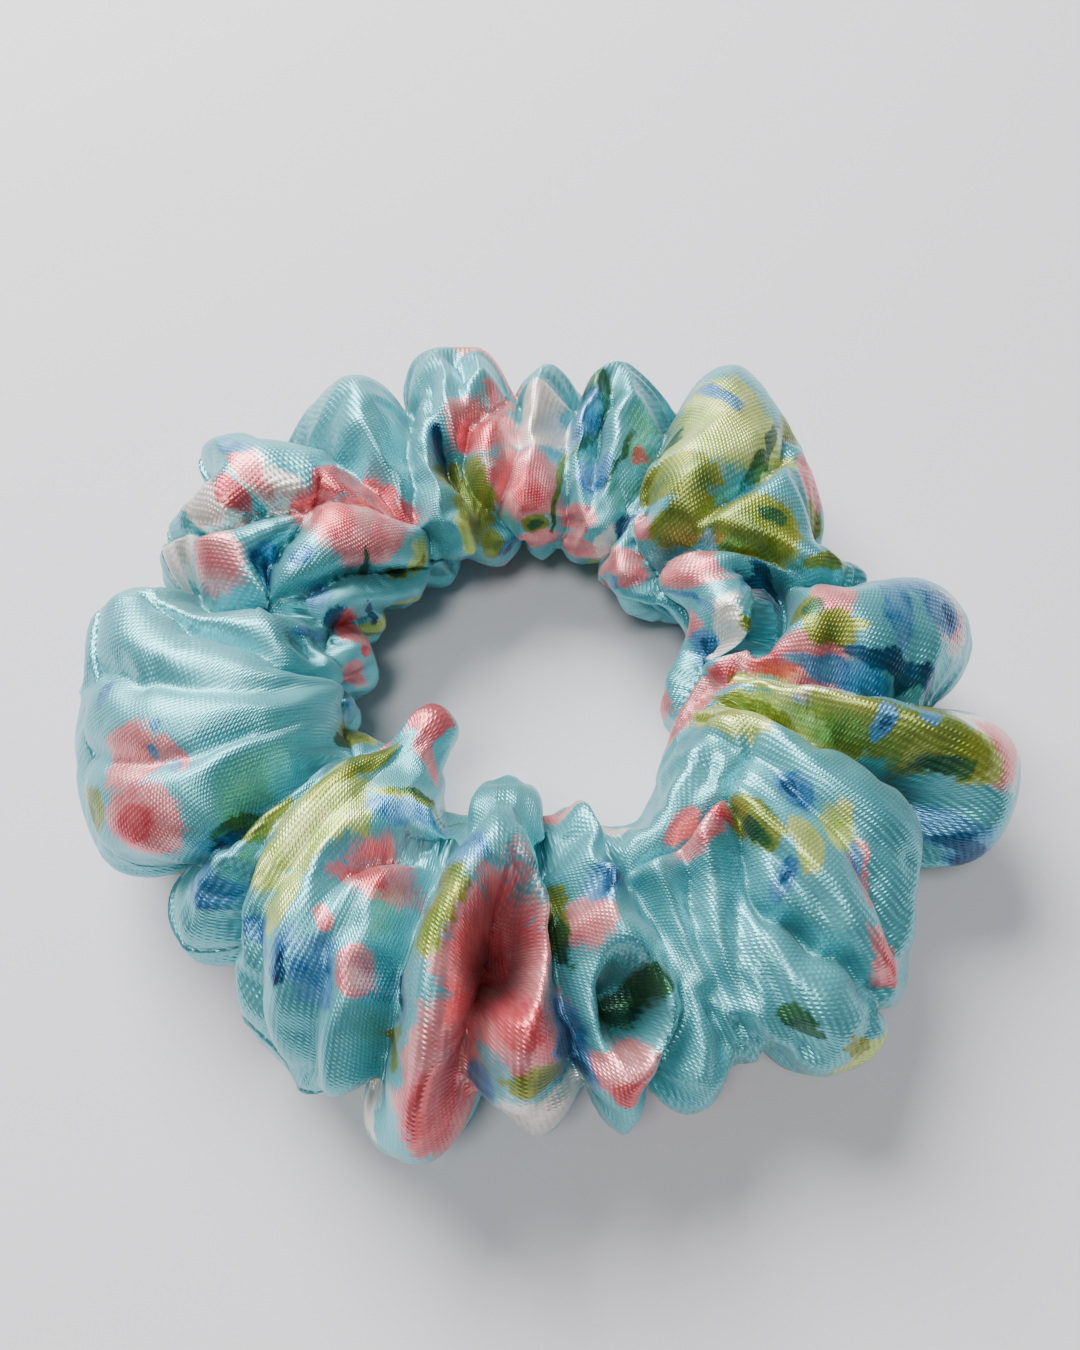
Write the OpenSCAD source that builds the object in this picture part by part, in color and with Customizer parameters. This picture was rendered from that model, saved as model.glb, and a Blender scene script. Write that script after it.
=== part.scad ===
/* [Ring] */
// Radius of the opening that the hair goes through, relaxed
opening_r = 19; // [17:0.5:21]
// Radius of one puff of satin, which sets the height of the whole
puff_r = 12.6; // [12.4:0.1:13]
// Height of the ring between its puffs
ring_h = 21; // [19:0.5:22]
// Radius of the ring's rim between its puffs
ring_rim_r = 45; // [43:0.5:46]
// Height of the ring's middle plane above the table
middle_z = 12; // [11.8:0.1:12.2]
// Thickness of the satin, with its gathers spread evenly
satin_t = 0.6; // [0.4:0.1:1]
// Thickness of the gathers that bunch up between the opening and the elastic
bunched_t = 3.6; // [2:0.2:4]
// Gap between the cover's two halves, where it parts as the loop stretches
half_gap = 0.3; // [0.2:0.1:0.6]

/* [Elastic] */
// Width of the flat braided elastic
elastic_w = 6; // [5:0.5:8]
// Thickness of the flat braided elastic
elastic_t = 1.2; // [1.1:0.1:1.6]
// Number of rubber cores inside the braid
core_count = 6; // [4:1:6]
// Diameter of one rubber core
core_d = 0.54; // [0.4:0.02:0.6]
// Length of the lap where the elastic's two ends are sewn together
lap_l = 12; // [11:1:16]
// Number of zigzag stitches across the lap
lap_stitch_count = 6; // [4:2:6]

/* [Seams] */
// Diameter of the sewing thread
thread_d = 0.4; // [0.3:0.05:0.5]
// Length of one stitch
stitch_l = 2.2; // [1.5:0.1:3]
// Radius of the lengthwise seam's line of stitches
seam_r = 42; // [40:0.5:43]
// Number of stitches along each half of the lengthwise seam
seam_stitch_count = 36; // [24:1:44]
// Width of the raw edges turned in beside the lengthwise seam
allowance_w = 6; // [4:0.5:8]
// Number of hand stitches round the closing seam
closing_stitch_count = 18; // [14:1:24]

/* [Hidden] */
$fn = 64;

satin = [0.55, 0.80, 0.83];
white_yarn = [0.93, 0.93, 0.90];
rubber = [0.80, 0.72, 0.55];
thread = [0.48, 0.74, 0.78];

// Each puff of the gathered satin: its direction in degrees and the radius that its rim reaches
PUFFS = [
    [-22, 53], [2, 50], [28, 45], [52, 53], [74, 51], [92, 50], [112, 52], [136, 53],
    [158, 48], [180, 50], [-152, 47], [-130, 48], [-110, 51], [-90, 50], [-72, 50], [-50, 53],
];
left = 180;
elastic_r = opening_r + bunched_t + 0.1;
core_gap = 0.03;
lap_angle = lap_l / elastic_r * 180 / PI;
lap_r = elastic_r + 2 * elastic_t;
thread_sink = 0.05;                  // how far a stitch bites into what it holds
seam_z = middle_z - 4;
inner_side = opening_r - 0.6;        // the ring's inner side, cut back by the opening to a flat
edge_room = 0.6;                     // width of the braid's two edges, beside its cores
core_pitch = (elastic_w - edge_room) / core_count;
lap_bite = 0.15;                     // how far the lapped end is pressed into the start
lap_inset = 0.1;                     // the lapped end is drawn in by this much on each edge
lap_sewn = 0.8;                      // share of the lap's length that the zigzag covers
lap_pitch = lap_l * lap_sewn / lap_stitch_count;
lap_stitch_l = elastic_w * 0.85;
lap_lean = acos(lap_pitch / 2 / lap_stitch_l);   // each stitch leans across half its pitch
allowance_t = 2 * satin_t;
closing_reach = 50;                  // radius that the rim of the closing seam's puff reaches
closing_x = closing_reach - puff_r;  // middle of that puff
closing_from = -55;                  // where the hand stitches begin and end round that puff
closing_to = 115;
reach_of_space = 80;                 // half the side of a block that holds the whole ring

// Cross-section of the ring itself, drawn in by inset: a flat-topped loop with round sides
module ring_section(inset) {
    r = ring_h / 2 - inset;
    inner_x = inner_side + ring_h / 2;
    outer_x = ring_rim_r - ring_h / 2;
    translate([inner_x, 0]) circle(r);
    translate([outer_x, 0]) circle(r);
    translate([inner_x, -r]) square([outer_x - inner_x, 2 * r]);
}

// The ring, drawn in by inset all round
module ring(inset) {
    translate([0, 0, middle_z]) rotate_extrude() ring_section(inset);
}

// The gathered outline: the ring and the puffs that stand out of it
module gathers() {
    ring(0);
    for (p = PUFFS)
        rotate([0, 0, p[0]]) translate([p[1] - puff_r, 0, middle_z]) sphere(puff_r);
}

// Space above the height z
module above(z) {
    translate([-reach_of_space, -reach_of_space, z])
        cube([2 * reach_of_space, 2 * reach_of_space, reach_of_space]);
}

// The round hole through the middle, at radius r
module opening(r) {
    translate([0, 0, -1]) cylinder(r = r, h = 2 * middle_z + 4, $fn = 128);
}

// The air space inside the tube, round the elastic
module tube_space() {
    difference() {
        ring(satin_t);
        opening(opening_r + bunched_t);
    }
}

// Two layers of raw edge inside the tube, standing in from the lengthwise seam
module seam_allowance() {
    translate([0, 0, seam_z - allowance_t])
        rotate_extrude() translate([seam_r - allowance_w / 2, 0]) square([allowance_w, allowance_t]);
}

// The sewn tube of satin as one closed ring
module cover_ring() {
    difference() {
        intersection() {
            gathers();
            above(0);
        }
        opening(opening_r);
        difference() {
            tube_space();
            seam_allowance();
        }
    }
}

// The half of the space on side -1 (left) or 1 (right), back from the middle by half the gap
module half_space(side) {
    shift = side > 0 ? half_gap / 2 : -half_gap / 2 - reach_of_space;
    translate([shift, -reach_of_space, -1])
        cube([reach_of_space, 2 * reach_of_space, reach_of_space]);
}

module cover_half(side) {
    color(satin) intersection() {
        cover_ring();
        half_space(side);
    }
}

// The woven sleeve of the elastic, with a tunnel for each core and its end lapped over its start
module elastic_braid() {
    color(white_yarn) {
        translate([0, 0, middle_z]) rotate_extrude() translate([elastic_r, 0]) difference() {
            translate([0, -elastic_w / 2]) square([elastic_t, elastic_w]);
            for (i = [0:core_count - 1])
                translate([elastic_t / 2, core_height(i)]) circle(core_d / 2 + core_gap);
        }
        rotate([0, 0, left - lap_angle / 2]) translate([0, 0, middle_z])
            rotate_extrude(angle = lap_angle)
                translate([elastic_r + elastic_t - lap_bite, lap_inset - elastic_w / 2])
                    square([elastic_t + lap_bite, elastic_w - 2 * lap_inset]);
    }
}

// Height of core number i above the middle of the elastic
function core_height(i) = (i - (core_count - 1) / 2) * core_pitch;

module elastic_rubber_cores() {
    color(rubber) for (i = [0:core_count - 1])
        translate([0, 0, middle_z + core_height(i)])
            rotate_extrude() translate([elastic_r + elastic_t / 2, 0]) circle(core_d / 2);
}

// One straight stitch of length l, lying along Y with its middle at the origin
module stitch(l) {
    rotate([90, 0, 0]) cylinder(d = thread_d, h = l, center = true, $fn = 24);
}

// Zigzag over the lap, leaning up and down in turn
module elastic_lap_stitches() {
    color(white_yarn) for (i = [0:lap_stitch_count - 1])
        rotate([0, 0, left + ((i + 0.5) / lap_stitch_count - 0.5) * lap_angle * lap_sewn])
            translate([lap_r + thread_d / 2 - thread_sink, 0, middle_z])
                rotate([i % 2 == 0 ? lap_lean : -lap_lean, 0, 0]) stitch(lap_stitch_l);
}

// The lengthwise seam's stitches on side -1 (left) or 1 (right)
module seam_stitches(side) {
    color(thread) for (i = [0:seam_stitch_count - 1])
        rotate([0, 0, -side * 90 + (i + 0.5) * 180 / seam_stitch_count])
            translate([seam_r, 0, seam_z + thread_d / 2 - thread_sink]) stitch(stitch_l);
}

// Hand stitches that close the tube, round the outside of one puff
module closing_seam_stitches() {
    r = puff_r + thread_d / 2 - thread_sink;
    color(thread) rotate([0, 0, left]) for (i = [0:closing_stitch_count - 1]) {
        turn = closing_from + i / (closing_stitch_count - 1) * (closing_to - closing_from);
        translate([closing_x + r * cos(turn), 0, middle_z + r * sin(turn)]) stitch(stitch_l);
    }
}

cover_half(-1);  // cover_left_half
cover_half(1);  // cover_right_half
elastic_braid();
elastic_rubber_cores();
elastic_lap_stitches();
seam_stitches(-1);  // seam_stitches_left
seam_stitches(1);  // seam_stitches_right
closing_seam_stitches();
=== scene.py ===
import math

import bpy
import numpy as np
from mathutils import Matrix, Vector


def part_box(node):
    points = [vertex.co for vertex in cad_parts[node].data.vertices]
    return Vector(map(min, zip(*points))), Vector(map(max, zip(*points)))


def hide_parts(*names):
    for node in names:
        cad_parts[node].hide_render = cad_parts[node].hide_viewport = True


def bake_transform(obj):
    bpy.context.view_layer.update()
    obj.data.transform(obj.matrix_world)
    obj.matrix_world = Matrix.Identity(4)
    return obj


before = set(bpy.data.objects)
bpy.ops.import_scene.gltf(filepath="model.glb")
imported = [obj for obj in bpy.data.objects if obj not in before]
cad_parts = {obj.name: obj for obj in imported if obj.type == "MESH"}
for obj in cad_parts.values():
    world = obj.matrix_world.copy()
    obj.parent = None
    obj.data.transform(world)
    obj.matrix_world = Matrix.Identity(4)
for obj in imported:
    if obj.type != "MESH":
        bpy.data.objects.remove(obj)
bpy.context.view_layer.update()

MM = 0.001
DEG = math.pi / 180

# ---------------------------------------------------------------- the ring that the gathers lie on
# Lengths are in millimetres and angles in degrees until a mesh is made. "turn" goes round the ring from +X
# towards +Y, and "roll" goes round the tube: 0 at the outer rim, 90 on top, 180 in the opening, 270 below.
RING_R = 36.0  # middle of the tube
MIDDLE_Z = 12.0  # height of the tube's middle above the table
UNDER = MIDDLE_Z - 0.2  # from the tube's middle down to its underside
TUBE_R = 14.8  # the tube's own radius, taken as even where folds are measured across it
WALL_POWER = 0.62  # below 1, so that the opening's wall hangs down before it turns under
COLUMNS, ROWS = 640, 146  # points along the strip, and across it from raw edge to raw edge

# (turn, radius of the rim), (turn, from the tube's middle in to the opening), (turn, from its middle up)
RIM = [(3, 51.8), (8, 50), (14, 46.5), (20, 49), (28, 45), (38, 46), (46, 50), (54, 54), (60, 54.5),
       (66, 47), (74, 48), (88, 46), (98, 48.5), (108, 51), (114, 51), (121, 48), (130, 50), (139, 57),
       (145, 53), (150, 47.5), (158, 50), (163, 51), (172, 52), (185, 50), (193, 51), (198.5, 50.8),
       (206, 50.5), (214, 49.5), (222, 49), (229, 47), (241, 51), (252, 54.5), (257, 56), (263, 54.5),
       (272, 51.5), (280, 54.5), (286, 54), (295, 52.5), (302, 56), (310, 60), (317, 54.5), (324, 51.5),
       (331, 55.5), (338, 57.5), (345, 57.2), (352, 54.5)]
INNER = [(0, 18), (7, 16), (13, 19), (20, 21), (30, 22.4), (38, 22.6), (48, 23), (60, 22.4), (75, 22.2),
         (88, 21.2), (98, 20.8), (110, 21.4), (120, 21.4), (140, 21.6), (155, 21.2), (170, 21), (185, 20.6),
         (205, 19), (219, 19.5), (229, 22), (236, 23.2), (243, 20.4), (249, 18.6), (255, 14.5), (260, 18),
         (268, 19.8), (277, 18.6), (282, 15.5), (287, 15.6), (291, 13), (296, 9.5), (303, 10), (309, 13),
         (315, 14.6), (325, 16.6), (335, 18.4), (347, 19)]
TOP = [(0, 12), (28, 12), (45, 12), (62, 11.6), (84, 11), (105, 11.5), (125, 11.5), (145, 12.5), (160, 12),
       (200, 13), (240, 13), (255, 13), (265, 13.6), (273, 13), (284, 9.8), (293, 9), (303, 9.8),
       (318, 12.6), (340, 13)]


def around(pairs, soften=4.0):
    """A smooth closed curve through (turn, value) pairs, as a function of turn. soften is in degrees."""
    a = np.array(sorted(pairs), float)
    step, reach = 0.5, 40
    grid = np.arange(0, 360, step)
    v = np.interp(grid, a[:, 0], a[:, 1], period=360)
    k = np.exp(-0.5 * (np.arange(-reach, reach + 1) * step / soften) ** 2)
    k /= k.sum()
    v = np.convolve(np.concatenate([v[-reach:], v, v[:reach]]), k, "valid")
    return lambda t: np.interp(np.mod(t, 360), grid, v, period=360)


rim_at, inner_at, top_at = around(RIM), around(INNER, 3.0), around(TOP)

BRAID_T, CORES = 1.2, 6  # thickness of the elastic, and the rubber cores side by side in it
WALL_TO_ELASTIC = 2.5  # least distance from the opening's wall to the elastic's middle
braid_low, braid_high = (np.array(v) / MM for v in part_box("elastic_braid"))
BRAID_W = braid_high[2] - braid_low[2]
BRAID_R = braid_high[0] - BRAID_T / 2  # middle of the relaxed elastic's thickness
elastic_at = around([(t, max(BRAID_R, RING_R - float(inner_at(t)) + WALL_TO_ELASTIC))
                     for t in range(0, 360, 3)], 5.0)


def on_ring(turn, roll):
    """The points of the smooth tube, before it is gathered."""
    t, f = turn * DEG, roll * DEG
    out = np.cos(f) > 0
    above = np.sin(f) > 0
    wide = np.where(out, rim_at(turn) - RING_R, inner_at(turn))
    high = np.where(above, top_at(turn), UNDER)
    side = np.where(out | above, np.cos(f), -np.abs(np.cos(f)) ** WALL_POWER)
    r = RING_R + wide * side
    return np.stack([r * np.cos(t), r * np.sin(t), MIDDLE_Z + high * np.sin(f)], -1)


def outward(turn, roll):
    """The way out of the smooth tube at each place."""
    e = 0.05
    a = on_ring(turn + e, roll) - on_ring(turn - e, roll)
    b = on_ring(turn, roll + e) - on_ring(turn, roll - e)
    n = np.cross(a, b)
    n /= np.linalg.norm(n, axis=-1, keepdims=True)
    t = turn * DEG
    c = np.stack([RING_R * np.cos(t), RING_R * np.sin(t), MIDDLE_Z + 0 * t], -1)
    return n * np.sign(((on_ring(turn, roll) - c) * n).sum(-1))[..., None]


def wrap(a):
    """An angle between -180 and 180."""
    return np.mod(a + 180, 360) - 180


def lattice_noise(x, y, seed, period=None):
    """Smooth noise from -1 to 1, closed round x when period is a whole number."""
    size = 128
    grid = np.random.RandomState(seed).rand(size, size) * 2 - 1
    xi, yi = np.floor(x).astype(int), np.floor(y).astype(int)
    xf, yf = x - xi, y - yi
    xf, yf = xf * xf * (3 - 2 * xf), yf * yf * (3 - 2 * yf)
    px = period or size
    x0, x1 = np.mod(xi, px) % size, np.mod(xi + 1, px) % size
    y0, y1 = np.mod(yi, size), np.mod(yi + 1, size)
    return (grid[x0, y0] * (1 - xf) + grid[x1, y0] * xf) * (1 - yf) + (
        grid[x0, y1] * (1 - xf) + grid[x1, y1] * xf) * yf


def shown(name, verts, faces):
    """A smooth-shaded object in the scene, from points in metres."""
    me = bpy.data.meshes.new(name)
    me.from_pydata(verts, [], faces)
    me.update()
    me.polygons.foreach_set("use_smooth", np.ones(len(me.polygons), bool))
    ob = bpy.data.objects.new(name, me)
    bpy.context.scene.collection.objects.link(ob)
    return ob


def grid_mesh(name, points, closed_across=False, closed_along=True):
    """A mesh over points[row, column], in millimetres."""
    rows, columns = points.shape[:2]
    index = np.arange(rows * columns).reshape(rows, columns)
    a = index if closed_across else index[:-1]
    b = np.roll(index, -1, 0) if closed_across else index[1:]
    quads = np.stack([a, np.roll(a, -1, 1), np.roll(b, -1, 1), b], -1)
    if not closed_along:
        quads = quads[:, :-1]
    return shown(name, (points.reshape(-1, 3) * MM).tolist(), quads.reshape(-1, 4).tolist())


# ---------------------------------------------------------------- folds
FINE = 2.4  # folds this narrow are used as they are written
WIDER, DEEPER = 1.3, 1.55  # broader ones are opened up and sunk by these factors
TABLE_GAP, TABLE_SOFT = 0.15, 0.5  # lowest place of the cloth, and how softly it comes down to it

# Each fold line is (width, lean, points), and each of its points is (turn, roll, depth). Cloth goes down into
# it by depth, and rises to the tube's outline within width. Lean pushes the cloth on one side over the line:
# above 0 the cloth on the left of the line's direction, and below 0 the cloth on its right.
CREASES = [
    (7, 0, [(64, -60, 5), (64, 20, 7), (61, 60, 7), (57, 95, 6), (54, 112, 5), (52, 130, 4.5), (50, 145, 4),
            (51, 160, 3.5), (53, 180, 3), (57, 200, 3), (60, 225, 3)]),
    (6, 0, [(77, -60, 4), (77, 30, 5.5), (78, 70, 6), (77, 90, 5.5), (77, 105, 5), (74, 130, 4),
            (71, 147, 4),
            (71, 162, 3.5), (73, 182, 3), (72, 205, 3), (72, 225, 2.5)]),
    (5.5, 0.8, [(89, -60, 3), (89, 40, 5), (89, 75, 5.5), (89, 95, 4.5), (88, 115, 3), (90, 130, 2.5),
                (94, 143, 2.5), (97, 155, 3), (96, 165, 3), (91, 185, 3), (90, 205, 3)]),
    (4.5, 0, [(92, 60, 2), (92, 90, 3.5), (95, 100, 3), (100, 112, 3), (104, 122, 4), (103, 135, 3.5),
              (98, 155, 3), (94, 172, 3), (92, 190, 3)]),
    (6, 0, [(112, -60, 5), (112, 30, 6), (111, 70, 6), (112, 85, 5.5), (114, 97, 5), (118, 112, 4.5),
            (121, 130, 4), (122, 150, 3.5), (121, 165, 3), (118, 185, 3), (115, 205, 2.5)]),
    (8, 0, [(133, -60, 5), (133, 20, 7), (133, 60, 7), (132, 78, 5)]),
    (5, -1, [(131, 80, 5), (131, 95, 4.5), (129, 108, 4), (126, 120, 3.5), (124.5, 133, 3.5),
             (122, 147, 3.5),
             (124, 165, 3), (122, 190, 3), (120, 215, 2.5)]),
    (5, 0, [(151, -60, 4), (151, 20, 5), (151, 42, 4), (150, 58, 1)]),
    (4.5, 1.5, [(158, 10, 2), (159.5, 45, 3.5), (159, 70, 4), (156, 86, 4), (150, 93, 4), (143, 103, 3.5),
                (139, 112, 2.5), (133, 128, 2), (126, 143, 1.5)]),
    (3.6, -1.4, [(138, 104, 1.5), (146, 107, 3), (155, 106, 4), (163, 106, 4.5), (170, 109, 4),
                 (173, 112, 3.5)]),
    (7, 0, [(167, -60, 4), (166, 20, 7), (167, 60, 7), (170, 80, 6), (172, 95, 5.5), (173, 110, 5),
            (171, 122, 4.5), (173, 135, 4), (178, 143, 4), (184, 150, 3), (190, 165, 3), (192, 190, 3)]),
    (4.5, -1.4, [(127, 182, 2), (136, 168, 3), (142, 160, 3.5), (148, 150, 4), (156, 138, 4.5),
                 (163, 127, 4.5),
                 (168, 117, 4), (172, 112, 4)]),
    (4.5, 0, [(165, 215, 3), (165, 185, 4), (166, 172, 4.5), (169, 158, 4.5), (173, 147, 4.5),
              (177, 142, 4)]),
    (4, 0, [(150, 215, 2), (156, 185, 2.5), (160, 170, 2.5), (163, 160, 2), (166, 150, 1)]),
    (3, 0, [(170, 165, 2), (174, 156, 3), (179, 150, 3.5), (182, 143, 2)]),
    (5, 1.0, [(198, 163, 3), (195, 150, 3.5), (194, 135, 3.5), (192, 122, 3), (187, 108, 3), (182, 95, 3.5),
              (178, 82, 3.5), (175, 62, 2)]),
    (3.5, 0, [(178, 124, 2.5), (183, 131, 4.5), (187, 139, 4)]),
    (4, 0, [(186, 190, 3), (192, 176, 3.5), (198, 167, 4), (204, 163, 3.5)]),
    (6.5, 0.8, [(205, 195, 2.5), (207, 176, 3), (211, 163, 3.5), (215, 152, 4), (218, 140, 5),
                (219, 125, 5),
                (221, 110, 5), (222, 95, 5), (223, 80, 4.5), (223, 60, 4), (222, 40, 4), (219, 20, 5),
                (217, -10, 5), (216, -60, 4)]),
    (4.5, 0, [(219, 170, 2), (222, 150, 3), (224, 132, 3.5), (226, 115, 3.5), (228, 100, 3.5),
              (229.5, 80, 4),
              (230, 60, 4.5), (231, 45, 5), (232, 20, 5.5), (233, -20, 5), (233, -60, 4)]),
    (2.5, 0, [(221, 100, 1), (223, 85, 2.5), (224, 70, 2.5), (225, 50, 2), (226, 25, 1)]),
    (4.5, 0, [(256, 124, 3), (251, 118, 5), (248, 111, 5), (245, 103, 4), (243.5, 96, 3),
                (244, 80, 1.5), (246, 60, 0.6)]),
    (2.4, 0, [(254.5, 182, 3), (255.5, 165, 5), (256, 148, 6), (256.5, 130, 6), (257, 113, 6)]),
    (5, 0, [(257, 116, 4.5), (256, 98, 5),
              (256, 75, 5), (256.5, 50, 5), (255.5, 25, 4.5), (252, 0, 5), (250, -60, 4)]),
    (4.5, -1.4, [(270.8, 101, 1.5), (270, 90, 5), (268.6, 77, 5.5), (267.2, 64, 5), (266.6, 50, 3.5)]),
    (4.5, 0, [(267, 50, 3), (266.5, 42, 4.5), (267, 25, 4), (268, 8, 4), (268, -60, 3)]),
    (7, 0, [(240, 150, 1), (237, 120, 2), (235.5, 90, 2.6), (236, 60, 2.6), (239, 30, 2.4), (243, 5, 2)]),
    (6, 0, [(249, 96, 1.5), (247.5, 70, 2.2), (248, 40, 2.4), (248, 10, 2)]),
    (6, 0, [(318, 150, 1), (321, 125, 2), (321.5, 95, 2.4), (320, 65, 2.6), (317, 35, 2.4), (315, 10, 2)]),
    (2.4, 0, [(282, 180, 3), (282.5, 150, 5), (282.5, 135, 6), (282, 118, 6)]),
    (4, 0, [(282, 120, 4.5), (280.6, 100, 4.5), (279.5, 80, 5),
              (278.5, 60, 5), (278, 40, 4), (278, 15, 4), (278, -60, 4)]),
    (2.4, 0, [(293.5, 165, 3), (293, 145, 5), (292.5, 128, 6), (292, 110, 6)]),
    (3.2, 0, [(292, 112, 4), (292.4, 95, 4), (292.6, 80, 4), (292, 62, 4), (290.5, 48, 4), (288, 36, 4),
              (286.5, 20, 4), (285.6, 0, 4), (285, -60, 3.5)]),
    (3, 0, [(293.5, 88, 1), (294, 65, 3), (294.8, 45, 3.5), (295, 10, 3), (295, -40, 1.5)]),
    (3.2, 0, [(301, 104, 3), (299.5, 95, 3.5), (297, 83, 3.5), (296, 65, 3), (297, 35, 3), (298, 5, 3),
              (298, -60, 2.5)]),
    (3, 0, [(306, 97, 3), (304, 86, 3.5), (301.5, 75, 3), (299, 62, 2.5), (298.5, 48, 2)]),
    (4.5, -1.0, [(312, 108, 2.5), (310, 97, 3.5), (308, 90, 4), (305.5, 80, 4), (305.2, 70, 4),
                 (307, 57, 4),
                 (309, 45, 3.5), (310.5, 28, 3), (311, 5, 2.5), (311, -60, 2.5)]),
    (4, -1.2, [(290, 108, 2), (297, 112, 3), (304, 112, 4), (311, 110.5, 4), (317, 112.5, 3.5),
               (324, 112, 2.5),
               (328, 108, 1)]),
    (2.5, 0, [(302, 118, 1.5), (308, 121, 2.5), (314, 123, 2.5), (320, 121, 2.5), (324, 116, 1.5)]),
    (6.5, -1.0, [(320, 156, 2), (327, 145, 3), (332, 133, 4), (334, 118, 4.5), (334, 100, 5),
                 (333.3, 85, 5.5),
                 (332.5, 65, 6), (331.5, 48, 6.5), (330, 30, 7), (327, 10, 7), (324, -15, 6),
                 (323, -60, 5)]),
    (6, 0, [(322, 162, 2), (331, 151, 3), (338, 142, 3.5), (341, 130, 3.5), (343.5, 118, 4),
            (344.3, 103, 4.5),
            (344.7, 88, 5), (346, 70, 5), (347.5, 52, 5), (350, 32, 5.5), (352, 10, 6), (353, -60, 5)]),
    (4.5, 0, [(330, 172, 2), (338, 160, 3), (345, 153, 3.5), (351, 150, 4), (353, 140, 4.5), (352, 130, 5),
              (351, 122, 5)]),
    (4.5, 1.2, [(351, 121, 4), (356, 117, 7), (361, 114, 8), (366, 115, 7), (367, 123, 4.5)]),
    (6, 0, [(366, 112, 4.5), (366.5, 98, 5), (366.5, 85, 5.5), (368, 65, 5), (370, 40, 5), (371, 10, 5),
            (372, -60, 4)]),
    (11, 0, [(21, -60, 4), (20, 0, 7), (19, 40, 8), (17, 65, 7), (15, 82, 3.5)]),
    (5, -1.2, [(9, 160, 1.5), (17, 153, 3.5), (22, 146, 4.5), (26, 138, 4.5), (26, 131, 4), (20, 126, 3.5),
               (15, 118, 3.5), (11, 106, 4), (8, 95, 4.5)]),
    (5, -1.4, [(-6, 174, 2), (5, 168, 4), (14, 163, 4.5), (20, 159, 4.5), (27, 153, 4.5), (35, 147, 4),
               (43, 137, 4), (49, 127, 4), (54, 114, 4)]),
    (4, 0, [(28, 125, 1.5), (29, 112, 2), (30, 98, 2.5), (31, 80, 2.5), (33, 60, 2), (36, 40, 1)]),
    (3.5, 0, [(33, 131, 1), (40, 128, 3), (45, 121, 4), (46, 115, 3)]),
    (4.5, 0, [(59, 150, 1), (62, 138, 2.5), (66, 124, 4), (69, 112, 5), (70, 98, 4.5), (70, 80, 3.5),
              (70, 60, 1.5)]),
    (3, 0, [(100, 50, 1.5), (100.5, 75, 3), (100.5, 98, 1.5)]),
    (3, 0, [(107, 55, 1.5), (107, 80, 3), (107.5, 95, 3), (110, 100, 2)]),
    (3.4, 0, [(207, 160, 1), (211, 112, 1.6), (209, 87, 1.5), (203.3, 53, 1.4), (199, 30, 1)]),
    (3.4, 0, [(203, 150, 1), (202, 120, 1.6), (197, 92, 1.6), (191, 66, 1.4), (187, 42, 1)]),
    (3.4, 0, [(313, 135, 1), (317, 93, 1.8), (322, 65, 1.8), (322.6, 35, 1.4)]),
    (3.4, 0, [(309, 118, 1), (311.5, 78, 1.8), (310.2, 56, 1.8), (307.4, 28, 1.6), (306, 5, 1)]),
    (3.4, 0, [(303.5, 112, 1), (301.2, 80, 1.8), (301.2, 50, 1.8), (300.7, 20, 1.6)]),
    (4.5, 0, [(98, 172, 1.5), (102, 158, 2.5), (106, 142, 3.5), (108, 130, 4.5), (109, 120, 6),
              (107.5, 110, 3.5)]),
]
# Pockets with a floor: (half-width of the floor, wall, points), each point (turn, roll, depth)
POCKETS = [
    (2.7, 1.8, [(270.8, 90, 9), (270.6, 82, 11), (269.8, 76, 11)]),
    (1.3, 2.0, [(269.6, 76, 10), (267.6, 64, 9), (266.8, 54, 6), (266.6, 44, 4)]),
    (1.6, 1.5, [(286, 66, 8), (285.4, 57, 8.5), (284.8, 52, 7)]),
]
# Rolled edges and lips that stand out: (width, points), each point (turn, roll, height)
RIDGES = [
    (2.6, [(277.5, 96, 1.8), (275, 109, 2.4), (269, 113, 2.8), (264, 104, 2.8), (261.6, 88, 2.4),
           (261, 65, 2.0),
           (261, 30, 1.2), (261, 0, 0.5)]),
    (3.0, [(286.5, 158, 0.3), (287, 135, 2.2), (287.5, 110, 2.4), (287.6, 88, 1.6)]),
    (2.6, [(276, 90, 1.6), (275.6, 72, 2), (274, 52, 2), (273, 36, 1.2)]),
    (2.2, [(289.4, 74, 1.2), (290.6, 62, 2.2), (289.4, 50, 2.2), (286, 42, 1.2)]),
    (2.6, [(299, 104, 1.5), (304, 101, 2), (309.5, 106, 2.2), (311, 101, 1.2)]),
    (2.2, [(71, 142, 0.8), (74, 122, 1.4), (75, 105, 1.6), (74.6, 85, 1.4), (73, 65, 0.6)]),
    (3.0, [(109, 184, 1), (115.5, 175, 1.8), (117.5, 158, 2.2), (117.5, 138, 2.2), (116, 120, 2),
           (113.5, 106, 1.8), (110.5, 96, 0.8)]),
    (2.4, [(35, 119, 0.6), (38, 112, 1.2), (44, 109.5, 1.2), (50, 112, 0.8)]),
    (2.6, [(141, 154, 0.8), (148, 141, 1.6), (156, 130, 1.6), (163, 121, 1.2), (168, 113, 0.6)]),
    (2.6, [(302, 121.5, 0.8), (308, 126, 1.4), (316, 128, 1.4), (324, 122, 1), (327, 113, 0.5)]),
    (3.0, [(21, 162, 0.8), (32, 155, 1.6), (42, 144, 1.4), (50, 131, 0.8)]),
    (2.3, [(231, 178, 1.2), (234, 167, 3.6), (236.5, 157, 3.8), (238.5, 148, 1.6)]),
]
# Turns where a fold on the rim goes on under the ring, and those of them that start shallow
UNDER_FOLDS = (57, 77, 89, 112, 133, 151, 167, 216, 233, 250, 268, 278, 285, 298, 311, 323, 353, 12, 21,
               192, 204, 42)
SHALLOW_FOLDS = (192, 204, 42)


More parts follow.
